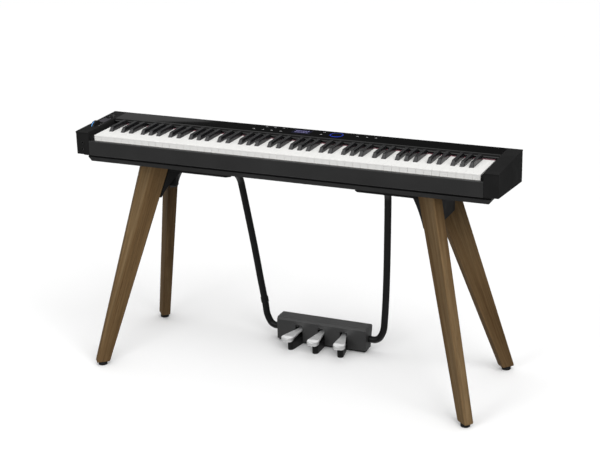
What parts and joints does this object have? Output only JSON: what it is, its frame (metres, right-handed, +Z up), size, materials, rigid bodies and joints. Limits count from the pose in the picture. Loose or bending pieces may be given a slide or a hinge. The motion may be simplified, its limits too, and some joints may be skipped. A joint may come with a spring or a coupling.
{
  "type": "digital piano on stand",
  "caption": "Slim digital piano with a full keyboard and touch panel on splayed wooden legs, with a pedal unit held by two bent pipes.",
  "frame": {"origin": "on the floor under the middle of the whole object", "axes": "+X along the keyboard towards its high notes, +Y away from the player, +Z up"},
  "size_m": [1.34, 0.4638, 0.7618],
  "materials": {
    "case_black": "fine moulded texture",
    "satin_black": "satin",
    "gloss_black": "high gloss",
    "key_white": "fine ivory-like texture, satin gloss",
    "key_black": "fine ebony-like texture",
    "walnut": "satin lacquer over straight grain",
    "chrome": "polished",
    "black_steel": "fine powder coat",
    "cast_black": "satin",
    "red_felt": "napped felt",
    "frame_grey": "moulded",
    "circuit_board": "solder mask",
    "speaker_black": "pressed basket",
    "display": "backlit",
    "blue_light": "lit ring",
    "bright_steel": "ground",
    "rubber_foot": "matte"
  },
  "bodies": {
    "piano": {"bottom_case": "case_black", "touch_panel": "gloss_black", "left_end_block": "satin_black", "right_end_block": "satin_black", "front_rail": "satin_black", "key_felt": "red_felt", "key_frame": "frame_grey", "key_contact_board": "circuit_board", "main_board": "circuit_board", "left_speaker": "speaker_black", "right_speaker": "speaker_black", "display_window": "display", "touch_ring": "blue_light", "rear_jack_plate": "case_black", "pitch_wheel_bracket": "frame_grey", "upper_phone_jack": "case_black", "lower_phone_jack": "case_black", "left_leg_bracket": "cast_black", "front_left_leg": "walnut", "front_left_glide": "rubber_foot", "rear_left_leg": "walnut", "rear_left_glide": "rubber_foot", "left_arm": "black_steel", "right_leg_bracket": "cast_black", "front_right_leg": "walnut", "front_right_glide": "rubber_foot", "rear_right_leg": "walnut", "rear_right_glide": "rubber_foot", "right_arm": "black_steel", "pedal_housing": "cast_black", "pedal_base": "cast_black", "pedal_shaft": "bright_steel"},
    "white_keys_a0_b1": {"white_keys_a0_b1": "key_white"},
    "black_keys_a0_b1": {"black_keys_a0_b1": "key_black"},
    "white_keys_c2_b3": {"white_keys_c2_b3": "key_white"},
    "black_keys_c2_b3": {"black_keys_c2_b3": "key_black"},
    "white_keys_c5_b6": {"white_keys_c5_b6": "key_white"},
    "black_keys_c5_b6": {"black_keys_c5_b6": "key_black"},
    "white_keys_c7_c8": {"white_keys_c7_c8": "key_white"},
    "black_keys_c7_c8": {"black_keys_c7_c8": "key_black"},
    "key_c4": {"key_c4": "key_white"},
    "key_c_sharp_4": {"key_c_sharp_4": "key_black"},
    "key_d4": {"key_d4": "key_white"},
    "key_d_sharp_4": {"key_d_sharp_4": "key_black"},
    "key_e4": {"key_e4": "key_white"},
    "key_f4": {"key_f4": "key_white"},
    "key_f_sharp_4": {"key_f_sharp_4": "key_black"},
    "key_g4": {"key_g4": "key_white"},
    "key_g_sharp_4": {"key_g_sharp_4": "key_black"},
    "key_a4": {"key_a4": "key_white"},
    "key_a_sharp_4": {"key_a_sharp_4": "key_black"},
    "key_b4": {"key_b4": "key_white"},
    "pitch_wheel": {"pitch_wheel": "satin_black"},
    "outer_control_knob": {"outer_control_knob": "satin_black"},
    "inner_control_knob": {"inner_control_knob": "satin_black"},
    "power_button": {"power_button": "satin_black"},
    "left_pedal": {"left_pedal": "chrome"},
    "middle_pedal": {"middle_pedal": "chrome"},
    "right_pedal": {"right_pedal": "chrome"}
  },
  "joints": [
    {"name": "press_white_a0_b1", "type": "hinge", "parent": "piano", "child": "white_keys_a0_b1", "pos_m": [0, 0.0535, 0.7262], "axis": [1, 0, 0], "range_deg": [0, 2.9], "stiffness_Nm_per_rad": 4.5, "springref_deg": -17.19},
    {"name": "press_black_a0_b1", "type": "hinge", "parent": "piano", "child": "black_keys_a0_b1", "pos_m": [0, 0.0345, 0.7127], "axis": [1, 0, 0], "range_deg": [0, 3.6], "stiffness_Nm_per_rad": 2.1, "springref_deg": -17.19},
    {"name": "press_white_c2_b3", "type": "hinge", "parent": "piano", "child": "white_keys_c2_b3", "pos_m": [0, 0.0535, 0.7262], "axis": [1, 0, 0], "range_deg": [0, 2.9], "stiffness_Nm_per_rad": 7, "springref_deg": -17.19},
    {"name": "press_black_c2_b3", "type": "hinge", "parent": "piano", "child": "black_keys_c2_b3", "pos_m": [0, 0.0345, 0.7127], "axis": [1, 0, 0], "range_deg": [0, 3.6], "stiffness_Nm_per_rad": 3.5, "springref_deg": -17.19},
    {"name": "press_white_c5_b6", "type": "hinge", "parent": "piano", "child": "white_keys_c5_b6", "pos_m": [0, 0.0535, 0.7262], "axis": [1, 0, 0], "range_deg": [0, 2.9], "stiffness_Nm_per_rad": 7, "springref_deg": -17.19},
    {"name": "press_black_c5_b6", "type": "hinge", "parent": "piano", "child": "black_keys_c5_b6", "pos_m": [0, 0.0345, 0.7127], "axis": [1, 0, 0], "range_deg": [0, 3.6], "stiffness_Nm_per_rad": 3.5, "springref_deg": -17.19},
    {"name": "press_white_c7_c8", "type": "hinge", "parent": "piano", "child": "white_keys_c7_c8", "pos_m": [0, 0.0535, 0.7262], "axis": [1, 0, 0], "range_deg": [0, 2.9], "stiffness_Nm_per_rad": 4, "springref_deg": -17.19},
    {"name": "press_black_c7_c8", "type": "hinge", "parent": "piano", "child": "black_keys_c7_c8", "pos_m": [0, 0.0345, 0.7127], "axis": [1, 0, 0], "range_deg": [0, 3.6], "stiffness_Nm_per_rad": 1.75, "springref_deg": -17.19},
    {"name": "press_c4", "type": "hinge", "parent": "piano", "child": "key_c4", "pos_m": [0, 0.0535, 0.7262], "axis": [1, 0, 0], "range_deg": [0, 2.9], "stiffness_Nm_per_rad": 0.5, "springref_deg": -17.19},
    {"name": "press_c_sharp_4", "type": "hinge", "parent": "piano", "child": "key_c_sharp_4", "pos_m": [0, 0.0345, 0.7127], "axis": [1, 0, 0], "range_deg": [0, 3.6], "stiffness_Nm_per_rad": 0.35, "springref_deg": -17.19},
    {"name": "press_d4", "type": "hinge", "parent": "piano", "child": "key_d4", "pos_m": [0, 0.0535, 0.7262], "axis": [1, 0, 0], "range_deg": [0, 2.9], "stiffness_Nm_per_rad": 0.5, "springref_deg": -17.19},
    {"name": "press_d_sharp_4", "type": "hinge", "parent": "piano", "child": "key_d_sharp_4", "pos_m": [0, 0.0345, 0.7127], "axis": [1, 0, 0], "range_deg": [0, 3.6], "stiffness_Nm_per_rad": 0.35, "springref_deg": -17.19},
    {"name": "press_e4", "type": "hinge", "parent": "piano", "child": "key_e4", "pos_m": [0, 0.0535, 0.7262], "axis": [1, 0, 0], "range_deg": [0, 2.9], "stiffness_Nm_per_rad": 0.5, "springref_deg": -17.19},
    {"name": "press_f4", "type": "hinge", "parent": "piano", "child": "key_f4", "pos_m": [0, 0.0535, 0.7262], "axis": [1, 0, 0], "range_deg": [0, 2.9], "stiffness_Nm_per_rad": 0.5, "springref_deg": -17.19},
    {"name": "press_f_sharp_4", "type": "hinge", "parent": "piano", "child": "key_f_sharp_4", "pos_m": [0, 0.0345, 0.7127], "axis": [1, 0, 0], "range_deg": [0, 3.6], "stiffness_Nm_per_rad": 0.35, "springref_deg": -17.19},
    {"name": "press_g4", "type": "hinge", "parent": "piano", "child": "key_g4", "pos_m": [0, 0.0535, 0.7262], "axis": [1, 0, 0], "range_deg": [0, 2.9], "stiffness_Nm_per_rad": 0.5, "springref_deg": -17.19},
    {"name": "press_g_sharp_4", "type": "hinge", "parent": "piano", "child": "key_g_sharp_4", "pos_m": [0, 0.0345, 0.7127], "axis": [1, 0, 0], "range_deg": [0, 3.6], "stiffness_Nm_per_rad": 0.35, "springref_deg": -17.19},
    {"name": "press_a4", "type": "hinge", "parent": "piano", "child": "key_a4", "pos_m": [0, 0.0535, 0.7262], "axis": [1, 0, 0], "range_deg": [0, 2.9], "stiffness_Nm_per_rad": 0.5, "springref_deg": -17.19},
    {"name": "press_a_sharp_4", "type": "hinge", "parent": "piano", "child": "key_a_sharp_4", "pos_m": [0, 0.0345, 0.7127], "axis": [1, 0, 0], "range_deg": [0, 3.6], "stiffness_Nm_per_rad": 0.35, "springref_deg": -17.19},
    {"name": "press_b4", "type": "hinge", "parent": "piano", "child": "key_b4", "pos_m": [0, 0.0535, 0.7262], "axis": [1, 0, 0], "range_deg": [0, 2.9], "stiffness_Nm_per_rad": 0.5, "springref_deg": -17.19},
    {"name": "pitch_wheel_turn", "type": "hinge", "parent": "piano", "child": "pitch_wheel", "pos_m": [-0.649, -0.0725, 0.7362], "axis": [1, 0, 0], "range_deg": [-30, 30], "stiffness_Nm_per_rad": 0.03},
    {"name": "outer_knob_turn", "type": "hinge", "parent": "piano", "child": "outer_control_knob", "pos_m": [-0.656, 0.0095, 0.75], "axis": [0, 0, 1], "range_deg": [-150, 150]},
    {"name": "inner_knob_turn", "type": "hinge", "parent": "piano", "child": "inner_control_knob", "pos_m": [-0.641, 0.0095, 0.75], "axis": [0, 0, 1], "range_deg": [-150, 150]},
    {"name": "power_button_press", "type": "slide", "parent": "piano", "child": "power_button", "axis": [0, 0, -1], "range_m": [0, 0.001], "stiffness_N_per_m": 400, "springref_m": -0.002},
    {"name": "left_pedal_press", "type": "hinge", "parent": "piano", "child": "left_pedal", "pos_m": [-0.0714, 0.194, 0.047], "axis": [1, 0, 0], "range_deg": [0, 7], "stiffness_Nm_per_rad": 10, "springref_deg": -6.88},
    {"name": "middle_pedal_press", "type": "hinge", "parent": "piano", "child": "middle_pedal", "pos_m": [0, 0.194, 0.047], "axis": [1, 0, 0], "range_deg": [0, 7], "stiffness_Nm_per_rad": 10, "springref_deg": -6.88},
    {"name": "right_pedal_press", "type": "hinge", "parent": "piano", "child": "right_pedal", "pos_m": [0.0714, 0.194, 0.047], "axis": [1, 0, 0], "range_deg": [0, 7], "stiffness_Nm_per_rad": 10, "springref_deg": -6.88}
  ]
}
